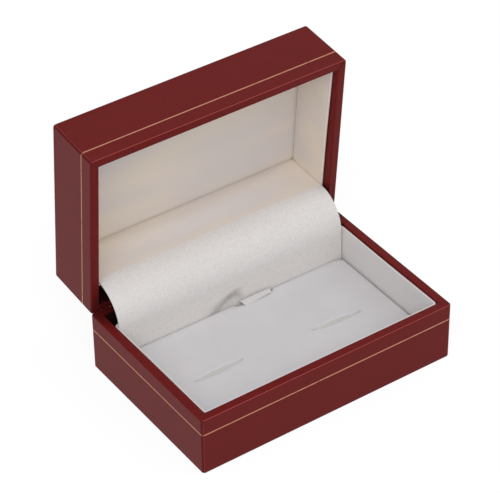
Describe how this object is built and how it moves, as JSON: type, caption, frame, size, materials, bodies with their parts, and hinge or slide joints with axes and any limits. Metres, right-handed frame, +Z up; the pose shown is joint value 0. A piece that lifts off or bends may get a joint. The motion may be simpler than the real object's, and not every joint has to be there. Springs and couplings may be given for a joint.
{
  "type": "cufflink display box",
  "caption": "Hinged presentation box in dark leatherette with a gold line, satin lined lid, sprung hinge, and a lift-out velvet pad with slits for cufflinks.",
  "frame": {"origin": "middle of the underside of the base, on the surface that the box stands on", "axes": "+X to the right along the long side, +Y to the hinge at the back, +Z up"},
  "size_m": [0.09, 0.079, 0.0805],
  "materials": {
    "red_leatherette": "fine grained coated paper, low sheen",
    "black_moulding": "satin moulded",
    "gold_foil": "hot pressed foil, satin",
    "white_card": "smooth coated",
    "underside_paper": "fine grained",
    "grained_cover": "pebble grained, pearly",
    "velvet": "short matt pile",
    "ribbon": "satin woven",
    "cream_satin": "smooth satin",
    "foam": "closed cell foam",
    "grey_board": "uncoated",
    "plated_steel": "nickel plated",
    "spring_steel": "polished strip"
  },
  "bodies": {
    "base": {"base_sheet": "underside_paper", "base_shell": "black_moulding", "base_wrap": "red_leatherette", "base_gold_line": "gold_foil", "base_liner": "white_card", "base_hinge_leaf": "plated_steel", "base_hinge_rivets": "plated_steel", "hinge_pins": "plated_steel", "bow_spring": "spring_steel", "hinge_cover": "grained_cover"},
    "pad": {"pad_board": "grey_board", "pad_foam": "foam", "pad_velvet": "velvet", "pull_tab": "ribbon"},
    "lid": {"lid_shell": "black_moulding", "lid_wrap": "red_leatherette", "lid_gold_line": "gold_foil", "lid_liner": "cream_satin", "lid_false_back": "cream_satin", "lid_roof_card": "grey_board", "lid_satin_pad": "cream_satin", "lid_hinge_leaf": "plated_steel", "lid_hinge_rivets": "plated_steel"}
  },
  "joints": [
    {"name": "lid_hinge", "type": "hinge", "parent": "base", "child": "lid", "pos_m": [0, 0.0291, 0.0204], "axis": [1, 0, 0], "range_deg": [0, 85], "deforming": ["hinge_cover", "bow_spring"]},
    {"name": "pad_lift", "type": "slide", "parent": "base", "child": "pad", "axis": [0, 0, 1], "range_m": [0, 0.0115]}
  ]
}
